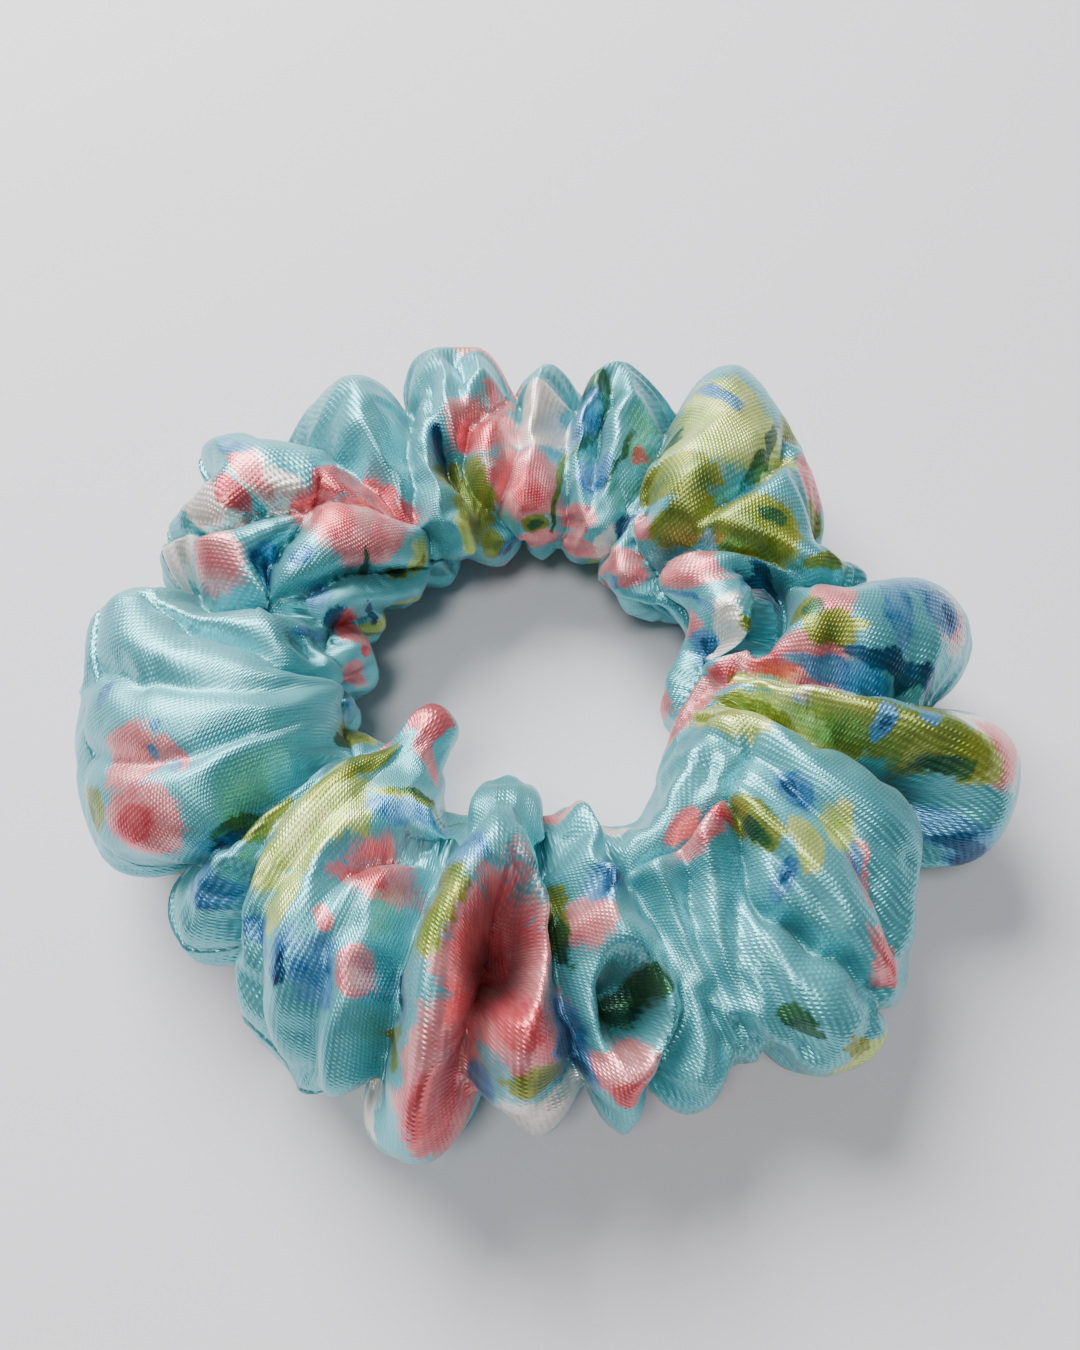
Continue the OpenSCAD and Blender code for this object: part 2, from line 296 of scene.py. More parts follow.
def polyline_terms(turn, roll, points):
    """At each place: how far the line is, its third value there, the way from it, and which side this is."""
    r = np.linalg.norm(on_ring(turn, roll)[..., :2], axis=-1) * DEG
    q = TUBE_R * DEG
    best = None
    for (t0, f0, a), (t1, f1, b) in zip(points[:-1], points[1:]):
        px, py = wrap(turn - t0) * r, wrap(roll - f0) * q
        sx, sy = (t1 - t0) * r, (f1 - f0) * q
        s = np.clip((px * sx + py * sy) / (sx * sx + sy * sy), 0, 1)
        dx, dy = px - s * sx, py - s * sy
        d = np.hypot(dx, dy)
        now = (d, a + (b - a) * s, dx, dy, np.sign(sx * py - sy * px))
        if best is None:
            best = now
        else:
            nearer = d < best[0]
            best = tuple(np.where(nearer, n, o) for n, o in zip(now, best))
    return best


def through_the_underside():
    """Folds that go on under the ring, where each rim fold leads round to the opening."""
    rng = np.random.RandomState(11)
    lines = []
    for t in UNDER_FOLDS:
        sway = rng.uniform(-3, 3, 5)
        depth = rng.uniform(3.2, 5, 5)
        first = 1.0 if t in SHALLOW_FOLDS else 4.0
        lines.append((rng.uniform(4.5, 6), rng.uniform(-0.8, 0.8), [
            (t, -56, first), (t + sway[0], -80, depth[0]), (t + sway[1], -105, depth[1]),
            (t + sway[2], -130, min(depth[2], 3.6)), (t + sway[3], -155, 3), (t + sway[4], -178, 2.4)]))
    return lines


def opening_pleats():
    """The small tight gathers that the elastic draws together in the opening."""
    rng = np.random.RandomState(5)
    lines = []
    t = 0.0
    while t < 357:
        lines.append((FINE, 0, [
            (t + rng.uniform(-3, 3), rng.uniform(135, 155), 0.1), (t + rng.uniform(-1, 1), 168, 1.0),
            (t, 185, 1.5), (t + rng.uniform(-1, 1), 205, 1.3),
            (t + rng.uniform(-3, 3), rng.uniform(220, 240), 0.2)]))
        t += rng.uniform(8, 13)
    return lines


def above_table(z):
    """Heights, with what would be below the table pressed softly onto it."""
    return TABLE_GAP + TABLE_SOFT * np.logaddexp(0, (z - TABLE_GAP) / TABLE_SOFT)


def gathered(turn, roll):
    """The points of the gathered tube, and how deep in a fold or pocket each one is."""
    # the fold lines sway a little
    wt = turn + 0.9 * lattice_noise(turn / 360 * 40, roll / 9, 1, 40)
    wr = roll + 2.6 * lattice_noise(turn / 360 * 26, roll / 14, 2, 26)
    total = np.zeros_like(turn)
    shift_t, shift_r = np.zeros_like(turn), np.zeros_like(turn)
    r = np.linalg.norm(on_ring(turn, roll)[..., :2], axis=-1)
    for width, lean, points in CREASES + through_the_underside() + opening_pleats():
        d, depth, dx, dy, side = polyline_terms(wt, wr, points)
        if width > FINE:
            width, depth = width * WIDER, depth * DEEPER
        x = np.clip(d / width, 0, 1)
        # the sides are steep at the line and level at the edge, and where folds meet the deeper one wins
        down = depth * (1 - (1 - (1 - x) ** 2) ** 0.8)
        total += down ** 4
        if lean:
            # 6.75 x (1 - x)^2 is 1 where it is largest
            push = abs(lean) * 6.75 * x * (1 - x) ** 2 * np.clip(depth / 3, 0, 1) * (side == np.sign(lean))
            shift_t -= push * dx / np.maximum(d, 1e-6) / r / DEG
            shift_r -= push * dy / np.maximum(d, 1e-6) / TUBE_R / DEG
    for floor, wall, points in POCKETS:
        d, depth = polyline_terms(wt, wr, points)[:2]
        x = np.clip((d - floor) / wall, 0, 1)
        total += (depth * (1 - x * x * (3 - 2 * x))) ** 4
    deep = total ** 0.25
    h = -deep
    for width, points in RIDGES:
        d, high = polyline_terms(wt, wr, points)[:2]
        h += high * np.exp(-(d / width) ** 2)
    h += 0.45 * lattice_noise(turn / 360 * 22, roll / 30, 3, 22)
    h += 0.12 * lattice_noise(turn / 360 * 90, roll / 40, 4, 90)
    roll = roll + shift_r
    turn = turn + shift_t
    p = on_ring(turn, roll) + h[..., None] * outward(turn, roll)
    p[..., 2] = above_table(p[..., 2])
    return p, deep


def smooth_twice(points):
    """Twice as many rows and columns, smoothly through the same cloth. Columns close and rows don't."""
    def finer(a, close):
        if close:
            before, after = np.roll(a, 1, 0), np.roll(a, -1, 0)
        else:
            before = np.concatenate([2 * a[:1] - a[1:2], a[:-1]])
            after = np.concatenate([a[1:], 2 * a[-1:] - a[-2:-1]])
        out = np.empty((2 * len(a),) + a.shape[1:])
        out[0::2] = 0.25 * before + 0.75 * a
        out[1::2] = 0.75 * a + 0.25 * after
        return out
    a = finer(points, False)
    return finer(a.swapaxes(0, 1), True).swapaxes(0, 1)


# ---------------------------------------------------------------- the cloth settles
SIM_SCALE = 0.02  # metres per millimetre in the simulation, 20 times the real size
FRAMES = 20
GATHERS = 1.27  # the cloth's own length round the ring, as a share of the ring's
GROWTH, PRESSURE = 0.03, 0.3  # how much the cloth is let out, and the air that puffs it
CATCH_FROM, CATCH_OVER = 3.2, 5.5  # depth where a fold starts to be held, and the depth over which it grows
FURTHEST = 3.2  # no point settles further than this from where the folds put it


def hold(ob, rolls, deep):
    """A vertex group of the cloth that doesn't move freely: the opening, the raw edges and the deep folds."""
    edge_share, deepest_share = 0.8, 0.95
    held = ob.vertex_groups.new(name="held")
    from_opening = np.abs(wrap(rolls - 180)).reshape(-1)
    # held fully within 14 degrees of the middle of the opening's wall, and not at all beyond 30
    opening = np.clip(1 - (from_opening - 14) / 16, 0, 1)
    edge = np.zeros(rolls.shape)
    edge[[0, -1]] = 1
    caught = np.clip((deep.reshape(-1) - CATCH_FROM) / CATCH_OVER, 0, 1) * deepest_share
    weight = np.maximum(np.maximum(opening, edge.reshape(-1) * edge_share), caught)
    for level in np.unique(np.round(weight, 1)):
        if level > 0:
            held.add(np.nonzero(np.round(weight, 1) == level)[0].tolist(), float(level), "REPLACE")


def relax(points, rolls, deep):
    """Lets the gathered cloth settle. Its own length round the ring is more than the ring's: it puckers."""
    ob = grid_mesh("cloth_at_work", points / MM * SIM_SCALE)
    hold(ob, rolls, deep)
    mod = ob.modifiers.new("cloth", "CLOTH")
    c = mod.settings
    level = points / np.linalg.norm(points[..., :2], axis=-1, keepdims=True) * np.array([1, 1, 0])
    ob.shape_key_add(name="gathered")
    rest = ob.shape_key_add(name="strip")
    rest.data.foreach_set("co", ((points + (GATHERS - 1) * RING_R * level) * SIM_SCALE).reshape(-1))
    c.rest_shape_key = rest
    c.quality = 4
    c.mass = 0.2
    c.tension_stiffness = c.compression_stiffness = 12
    c.shear_stiffness = 6
    c.bending_stiffness = 0.2
    c.tension_damping = c.compression_damping = c.shear_damping = 5
    c.bending_damping = 0.5
    c.air_damping = 2
    c.vertex_group_mass = "held"
    c.pin_stiffness = 2
    c.use_pressure = True
    c.uniform_pressure_force = PRESSURE
    c.shrink_min = c.shrink_max = -GROWTH
    c.effector_weights.gravity = 0
    mod.collision_settings.use_collision = False
    mod.collision_settings.use_self_collision = False
    mod.point_cache.frame_start, mod.point_cache.frame_end = 1, FRAMES
    scene = bpy.context.scene
    for f in range(1, FRAMES + 1):
        scene.frame_set(f)
    done = ob.evaluated_get(bpy.context.evaluated_depsgraph_get()).to_mesh()
    co = np.empty(len(done.vertices) * 3)
    done.vertices.foreach_get("co", co)
    scene.frame_set(1)
    bpy.data.objects.remove(ob)
    move = co.reshape(points.shape) / SIM_SCALE - points
    far = np.linalg.norm(move, axis=-1, keepdims=True)
    return points + move * np.minimum(1, FURTHEST / np.maximum(far, 1e-6))


OPENING_SIDE = 58  # cloth within this roll of the opening's wall stays inside the elastic
OUTER_SIDE = 40  # and cloth beyond this one goes round it
ROUND_IN, ROUND_UP = 1.9, 4.1  # half-width and half-height of the space round the elastic
OFFSET = 0.4  # that space's middle, out from the elastic's


def clear_of_elastic(roll, p):
    """The cloth goes round the elastic: inside its loop in the opening, and over it elsewhere."""
    turn = np.degrees(np.arctan2(p[..., 1], p[..., 0]))
    middle = elastic_at(turn)
    r = np.hypot(p[..., 0], p[..., 1])
    up = p[..., 2] - MIDDLE_Z
    from_opening = np.abs(wrap(roll - 180))
    # the opening's wall stays 1.1 inside the elastic's middle, and is freer above and below the elastic
    most = middle - 1.1 + 1.2 * np.maximum(np.abs(up) - 3.2, 0)
    less = most - 0.35 * np.logaddexp(0, (most - r) / 0.35)
    new = np.where(from_opening < OPENING_SIDE, less, r)
    across, high = (new - middle - OFFSET) / ROUND_IN, up / ROUND_UP
    near = (across ** 4 + high ** 4) ** 0.25
    # elsewhere, cloth in the space round the elastic moves out to that space's surface, mostly up or down
    inside = (near < 1) & (from_opening >= OUTER_SIDE)
    push = np.where(inside, np.minimum(1 / np.maximum(near, 0.35), 2.8), 1)
    new = middle + OFFSET + across * ROUND_IN * np.where(push > 1, 1 + (push - 1) * 0.3, 1)
    p[..., 0] *= new / r
    p[..., 1] *= new / r
    p[..., 2] = MIDDLE_Z + up * push
    return p


# The lengthwise seam's roll, which the first and last rows of the strip follow
seam_at = around([(90, 0), (150, 20), (188, 44), (205, 25), (230, 4), (270, -22), (320, -22), (350, -8),
                  (30, -4)], 6)


def strip():
    """The sewn strip: its turn, roll, points and fold depths, each as [row, column]."""
    def places(columns, rows):
        turn = (np.arange(columns) + 0.5) * 360 / columns
        share = (np.arange(rows) + 0.5) / rows
        T, S = np.meshgrid(turn, share)
        return T, seam_at(T) + 360 * S
    T, F = places(COLUMNS // 2, ROWS // 2)
    coarse, deep = gathered(T, F)
    coarse = relax(coarse, F, deep)
    T, F = places(COLUMNS, ROWS)
    p = clear_of_elastic(F, smooth_twice(coarse))
    p[..., 2] = above_table(p[..., 2])
    return T, F, p, smooth_twice(deep[..., None])[..., 0]


T, F, P, DEEP = strip()
EDGE_DEPTHS = (0.5, 1.6, 3.2, 5.0)  # rows of a raw edge, down into the tube


def raw_edge(row, beside):
    """The rows of one raw edge, which turns in along the seam and lies inside the tube."""
    n = outward(T[row], F[row])
    along = P[row] - P[beside]
    along /= np.linalg.norm(along, axis=-1, keepdims=True)
    rows = []
    for deep in EDGE_DEPTHS:
        wave = 0.35 * np.sin(T[row] * 0.9 + deep) * min(deep / 3, 1)
        rows.append(P[row] - n * deep + along * 0.12 + np.stack([0 * wave, 0 * wave, wave], -1))
    return rows


def with_edges(a):
    """Values over the strip, with its first and last rows repeated for the raw edges."""
    n = len(EDGE_DEPTHS)
    return np.concatenate([np.repeat(a[:1], n, 0), a, np.repeat(a[-1:], n, 0)])


FIRST, LAST = raw_edge(0, 1), raw_edge(-1, -2)
points = np.concatenate([np.stack(FIRST[::-1]), P, np.stack(LAST)])
turns, rolls = with_edges(T), with_edges(F)

# ---------------------------------------------------------------- printed satin: where each colour lies, and a few motifs of painted shade
# Each motif is (turn, roll, half-width, half-length, strength, lean), with strength 1 and lean 0 if left out.
# Half-width is in degrees of turn, half-length in degrees of roll, and lean in degrees away from the tube's
# own cross-section.
PRINT_AND_SHADE = {
    "pink": [
        (16, 137, 7, 9), (37, 158, 12, 9), (42, 84, 4, 13, 0.5, 6), (46, 168, 4, 12, 0.9),
        (28, 42, 4, 20, 0.6), (63, 171, 8, 15, 0.9), (66, 147, 7, 10, 0.8), (38, 132, 6, 6, 0.6),
        (87, 137, 12.5, 18), (80, 173, 7.5, 13), (97, 109, 8, 12), (93, 92, 3, 8, 0.6),
        (140, 128, 13.5, 17, 1, 10), (143, 103, 8, 8, 0.8), (147, 80, 3, 12, 0.6, 8), (165, 86, 5, 10, 0.9),
        (172, 166, 7, 13, 0.9), (186, 182, 4, 15, 0.8), (205, 64, 5.2, 14), (214, 56, 5, 16),
        (208, 82, 4, 5, 0.55), (226.5, 152, 2.2, 9, 0.8), (244, 149, 7, 4.4, 1, -20),
        (249, 104, 6, 13, 0.9), (245, 98, 3, 4, 0.7), (252, 70, 2.2, 5.5), (245, 79, 1.5, 5, 0.8),
        (264, 42, 4.2, 27), (270, 76, 8, 29), (275, 60, 4.6, 24), (266, 10, 3.4, 18), (287, 150, 5, 8, 0.7),
        (283, 42, 4, 8), (284, 90, 3.4, 8, 0.6), (304, 121, 4, 4.4, 0.7), (305, 105, 4.4, 6.5),
        (318, 53, 2.2, 9, 0.7, 24), (314, 28, 2.4, 20, 0.9, -8), (331, 156, 4.6, 32, 0.9, -58),
        (343, 133, 3, 22, 1, -38), (347.5, 102, 4, 18), (336, 184, 5, 12, 0.5), (357, 94, 4.6, 9, 0.8),
        (341, 30, 4, 12, 0.6), (359, 152, 6, 5, 0.6, -14), (357, 46, 4, 11, 0.5), (95, 30, 7, 20),
        (115, 10, 6, 14, 0.9, 30), (60, 20, 5, 18, 0.9, -20), (30, 10, 6, 16, 0.8),
        (150, -14, 6, 20, 1, 10), (232, -36, 7, 18, 0.9), (350, -10, 6, 14, 0.8), (12, -30, 6, 16, 0.8),
        (190, -20, 6, 20, 1, 10), (58, -74, 9, 12, 0.8), (302, -84, 10, 12, 0.8), (154, -70, 9, 10, 0.8),
        (290, -50, 7, 20, 0.9), (76, -60, 8, 18), (130, -80, 8, 22), (20, -100, 8, 20), (320, -100, 7, 22),
        (215, -90, 8, 22), (265, -110, 7, 18), (172, -110, 8, 18), (98, -130, 7, 16, 0.9),
        (45, -140, 7, 18, 0.9), (345, -140, 7, 16, 0.9),
    ],
    "rose": [
        (125, 134, 4.4, 8), (132, 110, 2.8, 22, 1, -52), (146, 122, 6, 7, 0.7), (152, 77, 1.8, 9, 1, 10),
        (168, 160, 3.6, 12, 0.8), (236.5, 153, 4.6, 7), (248, 99, 4, 4.4), (214, 52, 2.6, 9, 0.7),
        (269.5, 77, 3.8, 19), (263.5, 28, 2.6, 20, 0.8), (283, 34, 1.8, 6, 0.9), (84, 140, 6, 9, 0.6),
        (97, 112, 5, 7, 0.6), (346.5, 112, 2, 10, 0.9, -10), (309, 103, 1.6, 6, 0.9),
        (58, 106, 1.2, 6, 0.9), (342, 132, 1.8, 12, 0.7, 18), (179, 171, 2.4, 6, 0.7),
        (314, 34, 1.3, 9, 0.6, -8), (273, 58, 3, 9, 0.6), (96, 24, 4, 9, 0.8), (230, -40, 4, 9, 0.7),
        (130, -84, 4, 10, 0.8), (20, -104, 4, 9, 0.8), (214, -94, 4, 10, 0.8), (320, -96, 4, 10, 0.7),
        (76, -64, 4, 8, 0.8), (172, -114, 4, 8, 0.7),
    ],
    "cream": [
        (84, 108, 8, 9), (83, 92, 4.4, 12, 0.9), (99, 127, 4, 3.4, 1, -10), (147, 82, 3.4, 12, 0.9, 10),
        (155, 72, 2.6, 18, 1, 6), (163, 52, 3, 22, 0.9), (146, 94, 5, 4.4, 0.6), (54, 158, 2.6, 20, 0.6, 4),
        (255.5, 8, 2, 12, 0.9), (273.5, 14, 4.6, 17), (277.5, 86, 2, 9, 0.8), (303, 104, 2.6, 4, 0.5),
        (340.5, 105, 2.6, 24, 0.8, 6), (342, 32, 5, 16, 0.9), (357, 46, 4.6, 12, 0.9), (43, 82, 6, 12, 0.6),
        (357, 135, 7, 8, 0.5), (41, 84, 3, 12, 0.6, 8), (291, 147, 7, 9, 0.9), (55, 168, 2.6, 18, 0.9),
        (110, 0, 6, 12, 0.9), (75, -20, 5, 12, 0.8, 20), (160, -60, 7, 14, 0.9), (250, -70, 6, 14, 0.8),
        (305, -70, 6, 14, 0.8), (0, -70, 7, 14, 0.9), (110, -100, 6, 12, 0.8), (200, -130, 6, 14, 0.8),
    ],
    "olive": [
        (31, 122, 5, 12, 1, -20), (42, 114, 10, 8, 1, -10), (20, 109, 9, 14), (10.4, 82, 1.4, 17),
        (38, 40, 2.4, 14, 0.9, -6), (24, 40, 1.6, 20, 0.8), (81, 157, 3.6, 6, 0.9), (75.8, 138, 1, 24, 0.8),
        (103, 144, 6.4, 22), (101, 178, 4, 14, 0.7), (108.5, 126, 4, 9), (142.5, 160, 3.4, 9, 0.7, -18),
        (134, 163, 5, 6, 0.7, -30), (207, 35, 2.8, 9), (213, 163, 5, 14, 0.9), (225, 96, 2.8, 11),
        (232, 118, 2, 14, 0.9), (248, 134.5, 9, 2.4, 0.8, -30), (232, 131, 4, 10, 0.9), (261, 94, 2.6, 14),
        (257.6, 50, 1, 9, 0.9), (274, 40, 3.6, 5, 0.9), (280.6, 96, 1.9, 13, 0.9),
        (312, 94, 3.4, 11, 1, -10), (305, 15, 0.9, 12, 0.9), (327, 136, 2, 18, 0.5),
        (335, 122, 1.6, 18, 0.8), (352, 94, 3, 10, 0.9), (356.5, 104, 3, 6), (337.5, 68, 3.2, 32, 1, 2),
        (343, 56, 3.4, 8, 0.8), (358, 127, 1.5, 3, 0.9), (338, 90, 2, 10, 0.6), (120, -10, 3, 12, 0.9, 20),
        (68, -26, 3, 14, 0.9, -20), (168, -34, 3, 16, 0.8), (302, -30, 4, 12, 0.9), (212, -30, 4, 14, 0.9),
        (336, -46, 4, 14, 0.9), (88, -34, 2, 22, 0.9, 36), (8, -84, 2.4, 24, 0.9, -34),
        (176, -84, 2.2, 24, 0.9, 32), (254, -100, 2.4, 22, 0.9, -36), (128, -66, 2, 20, 0.8, 40),
        (50, -80, 5, 14, 0.9, 20), (190, -76, 5, 14, 0.9, -20), (278, -84, 5, 14, 0.9, 20),
        (100, -70, 4, 14, 0.9), (148, -106, 5, 12, 0.9), (356, -110, 5, 12, 0.9), (236, -130, 5, 14, 0.9),
        (305, -136, 5, 14, 0.9), (75, -120, 5, 12, 0.9),
    ],
    "green": [
        (62.5, 122, 3, 5, 1, -20), (73, 88, 2.8, 28), (34, 80, 1.3, 24, 1, -25), (51, 100, 1, 12, 0.8, -50),
        (75.8, 150, 0.7, 14, 0.7), (81, 158, 2, 3.4, 0.7), (143, 158, 2.4, 9, 0.9, -18),
        (149, 142, 4.4, 3, 0.9, -36), (214, 150, 2, 8, 0.9), (224.5, 100, 1.3, 5, 0.7),
        (249, 137, 8, 1.2, 0.8, -30), (289, 66, 2.4, 6), (285.6, 59, 2.8, 7), (302, 36, 1.3, 8, 1, -4),
        (281, 88, 1.2, 9, 0.8), (356, 100, 2, 5, 0.8), (336, 48, 1.2, 9, 0.8), (221, 84, 1, 20, 0.6),
        (20, 101, 3, 4, 0.5), (61, 108, 0.9, 9, 0.6), (207, 33, 1.4, 5, 0.6), (311, 90, 1.3, 6, 0.6),
    ],
    "lime": [
        (43, 84, 13, 23), (19, 101, 7, 6, 0.9), (32, 66, 3, 14, 0.8), (110.5, 160, 3, 12, 0.9),
        (134, 161, 6.4, 8, 0.9, -30), (216, 168, 3, 8, 0.8), (235, 106, 5, 18), (233, 84, 3, 18, 0.9),
        (237, 110, 6.6, 6, 1, -10), (238, 76, 2.4, 14, 0.9), (244, 128, 6, 2.4, 0.8, -30),
        (229, 112, 1.4, 16, 0.8), (315, 76, 2, 8, 0.9, 30), (320, 68, 2.4, 7, 0.9, 30), (327, 128, 4.4, 23),
        (335, 108, 3, 26), (334.6, 84, 1.6, 14, 0.9), (341, 114, 3, 16, 0.8, 10), (338, 42, 2.6, 12, 0.8),
        (261.5, 84, 1.4, 6, 0.7), (353, 84, 1, 6, 0.8), (306, 3, 3, 10, 0.8), (160, 200, 5, 14),
        (147, 193, 6, 8, 0.7), (50, 6, 3, 16, 0.9, 10), (142, -20, 3, 14, 0.8, 10), (215, -30, 3, 16, 0.8),
        (285, -20, 3, 14, 0.8), (90, -96, 5, 14, 0.9), (180, -60, 5, 14, 0.8), (335, -80, 5, 14, 0.9),
        (250, -40, 4, 12, 0.8), (120, -50, 4, 12, 0.8), (20, -60, 5, 12, 0.8), (62, -112, 4, 22, 0.9, 34),
        (262, -78, 3, 24, 0.9, -30), (202, -118, 4, 20, 0.8, 28), (312, -120, 3, 20, 0.8, -34),
    ],
    "blue": [
        (6, 129, 3.4, 3.6, 0.9), (35, 167, 4, 4, 0.8), (49, 76, 6, 4.6, 0.9, 10),
        # blue at (97, 190) and (111, 176) is painted shade in the opening, not print
        (10, 147, 10, 2.4, 0.6, -14), (66, 122, 5, 9, 0.7), (74, 98, 3, 14, 0.7), (97, 190, 3.4, 10),
        (111, 176, 3.6, 6, 0.8), (109, 113, 2, 7, 0.8), (158, 117, 3, 3.4, 0.9), (165, 130, 4.6, 5.6, 0.9),
        (178.5, 135, 2.6, 5, 0.8, 20), (162, 103, 5, 5), (203, 176, 3.6, 4.4, 0.8), (192, 52, 2.6, 4, 0.7),
        (206, 74, 1.4, 3, 0.7), (210, 80, 1.6, 3.4, 0.7), (203, 82, 1.3, 3, 0.6), (226, 45, 3.6, 12),
        (248, 127, 9, 4.6, 1, -30), (237, 54, 3.2, 5), (242.5, 61, 1.5, 12, 0.8), (262.5, 110, 4.6, 7),
        (268.6, 30, 1.4, 10, 0.8), (287, 100, 3, 6.4), (278.6, 50, 2, 21, 0.9), (257.4, 66, 1.2, 8, 0.9),
        (320.5, 88, 2, 9.5), (310, 75, 2.6, 3.6), (338, 73, 2.4, 4.6, 0.9), (354, 148, 4.4, 8, 0.9, -10),
        (357.5, 49, 4, 11), (331, 8, 2.6, 18), (357, 69, 6, 6), (247, 62, 3, 12, 0.7),
        (347, 88, 1.4, 22, 0.7), (2, 57, 3, 8, 0.7), (144, 66, 2.4, 13, 0.5), (318.5, 56, 1, 7, 0.7, 24),
        (341, 62, 1.6, 3.4, 0.7), (80, 5, 3, 6, 0.8), (150, 20, 2.6, 7, 0.8), (105, -40, 4, 9, 0.9),
        (45, -40, 4, 9, 0.9), (225, -60, 4, 10, 0.9), (272, -50, 4, 9, 0.9), (318, -50, 4, 9, 0.9),
        (160, -90, 4, 10, 0.9), (5, -130, 4, 9, 0.9), (200, -100, 4, 9, 0.9), (290, -110, 4, 9, 0.9),
    ],
    "deep": [
        # deep at (50.5, 138) is painted shade in the fold between two puffs, and at (97, 192) painted shade
        # in the opening, not print
        (7, 118, 4, 3.4, 0.9), (50.5, 138, 3.4, 11, 0.5), (97, 192, 2, 6, 0.8), (108.6, 111, 1.2, 6, 0.9),
        (161, 175, 1.1, 22, 0.7, 4), (163, 101, 3, 3, 0.9), (169, 144, 3.4, 8, 0.4),
        (222, 74, 0.9, 20, 0.5), (256.6, 66, 0.9, 8, 0.8), (287, 99, 1.6, 3.6, 0.8),
        (278.4, 46, 1.3, 14, 0.8), (320.5, 90, 1, 5, 0.8), (354, 146, 2.6, 5, 0.8),
        (349.3, 66, 1.2, 24, 0.8), (331, 2, 1.6, 12, 0.8), (337.6, 72, 1.2, 2.2, 0.7),
        # deep at (109, 178) is painted shade in the opening, not print
        (243, 58, 0.8, 9, 0.7), (357, 45, 2, 5, 0.6), (109, 178, 2.4, 4, 0.7), (310, 75, 1.3, 2, 0.6),
    ],
}
ROLL_TO_TURN = 2.4  # degrees of roll that are about as long as one degree of turn


def motif(turn, roll, half_width, half_length, strength=1, lean=0):
    return turn, roll, half_width, half_length / ROLL_TO_TURN, strength, lean


def printed(turn, roll):
    """How much of each colour lies at each place, from 0 up: print, and a few dark motifs of painted shade.
    """
    # the motifs' edges wander, in broad waves and in fine ones
    x, y = turn / 360, roll / 360
    wt = turn + 0.9 * lattice_noise(x * 60, y * 51, 21, 60) + 0.3 * lattice_noise(x * 150, y * 120, 22, 150)
    wr = roll + 2.8 * lattice_noise(x * 60, y * 51, 23, 60) + 1.0 * lattice_noise(x * 150, y * 120, 24, 150)
    out = {}
    for name, motifs in PRINT_AND_SHADE.items():
        total = np.zeros_like(turn)
        for t, f, a, b, strength, lean in (motif(*values) for values in motifs):
            dx, dy = wrap(wt - t), wrap(wr - f) / ROLL_TO_TURN
            c, s = math.cos(lean * DEG), math.sin(lean * DEG)
            u, v = (dx * c - dy * s) / a, (dx * s + dy * c) / b
            total = np.maximum(total, (0.6 + 0.4 * strength) * np.clip(1.55 - np.hypot(u, v), 0, 1))
        out[name] = total
    return out


# ---------------------------------------------------------------- materials
def srgb(r, g, b):
    """A display colour from 0 to 255, as the linear colour that materials take."""
    def linear(c):
        return c / 12.92 if c <= 0.04045 else ((c + 0.055) / 1.055) ** 2.4
    return linear(r / 255), linear(g / 255), linear(b / 255), 1


GROUND = (srgb(74, 164, 176), srgb(116, 200, 206))
TINTS = {
    "cream": (srgb(232, 214, 204), srgb(246, 240, 230)), "pink": (srgb(226, 108, 118), srgb(242, 160, 160)),
    "rose": (srgb(200, 62, 74), srgb(226, 106, 112)), "lime": (srgb(172, 198, 78), srgb(212, 224, 138)),
    "olive": (srgb(96, 116, 18), srgb(146, 156, 48)), "green": (srgb(20, 74, 56), srgb(56, 108, 60)),
    "blue": (srgb(34, 104, 158), srgb(104, 168, 206)), "deep": (srgb(10, 48, 82), srgb(30, 92, 132)),
}
# Three colour attributes carry the print and the painted shade. The last channel is painted shade: how deep
# in a fold the cloth is, which darkens the colour there.
CHANNELS = {
    "print_a": ("cream", "pink", "rose"),
    "print_b": ("lime", "olive", "green"),
    "print_and_shade_c": ("blue", "deep", "fold_shade"),
}
TWILL, THREADS = 0.4, 0.42  # spacing of the twill's slanting lines, and of the threads across them


def node(tree, kind, **values):
    """A new node, with values for its sockets or else its settings."""
    n = tree.nodes.new(kind)
    for key, value in values.items():
        if key in n.inputs.keys():
            n.inputs[key].default_value = value
        else:
            setattr(n, key, value)
    return n


def maths(tree, operation, a, b=None, c=None, clamp=False):
    """The output of a math node on numbers or sockets."""
    n = tree.nodes.new("ShaderNodeMath")
    n.operation = operation
    n.use_clamp = clamp
    for i, v in enumerate((a, b, c)):
        if v is None:
            continue
        if isinstance(v, (int, float)):
            n.inputs[i].default_value = v
        else:
            tree.links.new(v, n.inputs[i])
    return n.outputs[0]


def beyond(tree, value, start, gain, clamp=False):
    """(value - start) * gain."""
    return maths(tree, "MULTIPLY", maths(tree, "SUBTRACT", value, start), gain, clamp=clamp)


def mix(tree, factor, a, b):
    """The output of a colour mix on colours or sockets."""
    n = tree.nodes.new("ShaderNodeMix")
    n.data_type = "RGBA"
    for socket, v in ((n.inputs[0], factor), (n.inputs[6], a), (n.inputs[7], b)):
        if hasattr(v, "is_output"):
            tree.links.new(v, socket)
        else:
            socket.default_value = v
    return n.outputs[2]


def scaled(tree, colour, by):
    """A colour times a number, each a socket or a value."""
    n = node(tree, "ShaderNodeVectorMath", operation="SCALE")
    if hasattr(colour, "is_output"):
        tree.links.new(colour, n.inputs[0])
    else:
        n.inputs[0].default_value = colour[:3]
    tree.links.new(by, n.inputs["Scale"])
    return n.outputs[0]


